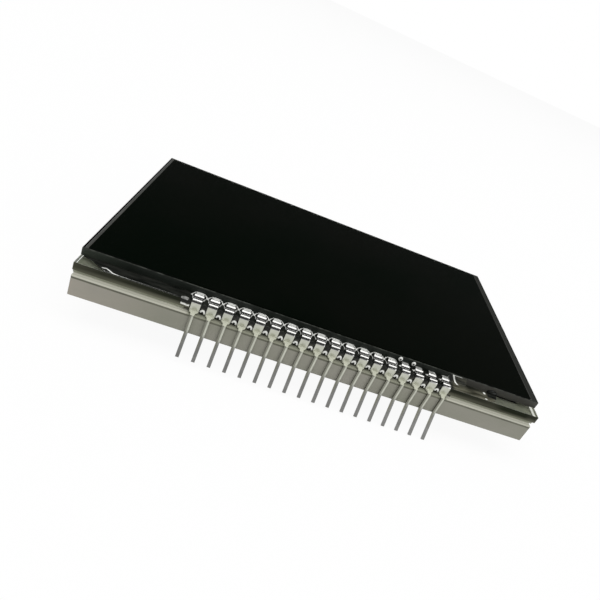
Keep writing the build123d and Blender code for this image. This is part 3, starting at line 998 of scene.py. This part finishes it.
def white_floor(name, colour, white_share):
    """Lit floor that camera, mirror and glass rays see as almost white."""
    material = bpy.data.materials.new(name)
    material.use_nodes = True
    tree = material.node_tree
    output = tree.nodes["Material Output"]
    bsdf = tree.nodes["Principled BSDF"]
    bsdf.inputs["Base Color"].default_value = (*colour, 1)
    bsdf.inputs["Roughness"].default_value = 0.9
    bsdf.inputs["Specular IOR Level"].default_value = 0.0
    glow = tree.nodes.new("ShaderNodeEmission")
    glow.inputs["Strength"].default_value = 1.0
    share = tree.nodes.new("ShaderNodeMath")
    share.operation = "MULTIPLY"
    share.inputs[1].default_value = white_share
    mix = tree.nodes.new("ShaderNodeMixShader")
    tree.links.new(sees_backdrop(tree, ("Camera", "Glossy", "Transmission")), share.inputs[0])
    tree.links.new(share.outputs[0], mix.inputs["Fac"])
    tree.links.new(bsdf.outputs[0], mix.inputs[1])
    tree.links.new(glow.outputs[0], mix.inputs[2])
    tree.links.new(mix.outputs[0], output.inputs["Surface"])
    return material


def sees_backdrop(tree, kinds):
    """1 for rays of any of these kinds, 0 for the rest."""
    path = tree.nodes.new("ShaderNodeLightPath")
    result = path.outputs[f"Is {kinds[0]} Ray"]
    for kind in kinds[1:]:
        either = tree.nodes.new("ShaderNodeMath")
        either.operation = "MAXIMUM"
        tree.links.new(result, either.inputs[0])
        tree.links.new(path.outputs[f"Is {kind} Ray"], either.inputs[1])
        result = either.outputs[0]
    return result


def make_floor():
    half = 2.0
    level = cad_bounds[0].z - 0.02 * MM
    mesh = bpy.data.meshes.new("floor")
    corners = [(-half, -half, level), (half, -half, level), (half, half, level), (-half, half, level)]
    mesh.from_pydata(corners, [], [(0, 1, 2, 3)])
    floor = bpy.data.objects.new("floor", mesh)
    bpy.context.scene.collection.objects.link(floor)
    mesh.materials.append(white_floor("floor_white", (0.88, 0.88, 0.88), 0.93))


def mixed(tree, factor, low, high):
    """Number between two numbers or sockets."""
    mix = tree.nodes.new("ShaderNodeMix")
    mix.data_type = "FLOAT"
    tree.links.new(factor, mix.inputs["Factor"])
    for socket, source in ((mix.inputs["A"], low), (mix.inputs["B"], high)):
        if isinstance(source, float):
            socket.default_value = source
        else:
            tree.links.new(source, socket)
    return mix.outputs[0]


def make_world():
    """White cyclorama under a dim studio ceiling."""
    world = bpy.data.worlds.new("studio")
    bpy.context.scene.world = world
    world.use_nodes = True
    world.cycles.sampling_method = "NONE"
    tree = world.node_tree
    background = tree.nodes["Background"]
    coordinates = tree.nodes.new("ShaderNodeTexCoord")
    split = tree.nodes.new("ShaderNodeSeparateXYZ")
    tree.links.new(coordinates.outputs["Generated"], split.inputs[0])
    climb = tree.nodes.new("ShaderNodeMapRange")
    for socket, number in (("From Min", 0.06), ("From Max", 0.22), ("To Min", 1.0), ("To Max", 0.07)):
        climb.inputs[socket].default_value = number
    tree.links.new(split.outputs["Z"], climb.inputs["Value"])
    strength = mixed(tree, sees_backdrop(tree, ("Glossy",)), 0.50, climb.outputs["Result"])
    strength = mixed(tree, sees_backdrop(tree, ("Camera", "Transmission")), strength, 1.0)
    tree.links.new(strength, background.inputs["Strength"])
    background.inputs["Color"].default_value = (1, 1, 1, 1)


def make_lamp(name, place, size, power):
    """Rectangular soft light that faces the object, kept level along its length."""
    lamp = bpy.data.lights.new(name, "AREA")
    lamp.shape = "RECTANGLE"
    lamp.size, lamp.size_y = size
    lamp.energy = power
    obj = bpy.data.objects.new(name, lamp)
    bpy.context.scene.collection.objects.link(obj)
    obj.location = place
    ground = math.hypot(place[0], place[1])
    obj.rotation_euler = (math.atan2(ground, place[2]), 0, math.atan2(place[0], -place[1]))


# Camera fitted to the photo: its place, its right and down directions, and its focal length and
# centre in pixels of a frame IMAGE_PX wide and high.
CAMERA_PLACE = (-14.0504 * MM, -68.938 * MM, 41.8806 * MM)
CAMERA_RIGHT = Vector((0.91853, -0.00975, 0.39523))
CAMERA_DOWN = Vector((0.34927, -0.44842, -0.82276))
FOCAL_PX = 504.459
CENTRE_PX = (345.705, 242.882)
IMAGE_PX = 600


def make_camera():
    """Camera at the photo's place, with the picture's centre moved off the lens axis."""
    right = CAMERA_RIGHT.normalized()
    down = (CAMERA_DOWN - right * CAMERA_DOWN.dot(right)).normalized()
    ahead = right.cross(down)
    data = bpy.data.cameras.new("camera")
    data.sensor_width = 36.0
    data.lens = data.sensor_width * FOCAL_PX / IMAGE_PX
    data.shift_x = (IMAGE_PX / 2 - CENTRE_PX[0]) / IMAGE_PX
    data.shift_y = (CENTRE_PX[1] - IMAGE_PX / 2) / IMAGE_PX
    data.clip_start = 1 * MM
    data.clip_end = 10.0
    camera = bpy.data.objects.new("camera", data)
    bpy.context.scene.collection.objects.link(camera)
    turn = Matrix((right, -down, -ahead)).transposed()
    camera.matrix_world = Matrix.Translation(CAMERA_PLACE) @ turn.to_4x4()
    bpy.context.scene.camera = camera


make_floor()
make_world()
make_lamp("ceiling_strip", (0.0, -0.03, 1.0), (1.6, 0.6), 8.0)
make_lamp("front_right", (0.85, -0.75, 0.30), (0.9, 0.5), 2.8)
make_camera()
bpy.context.scene.view_settings.view_transform = "Standard"
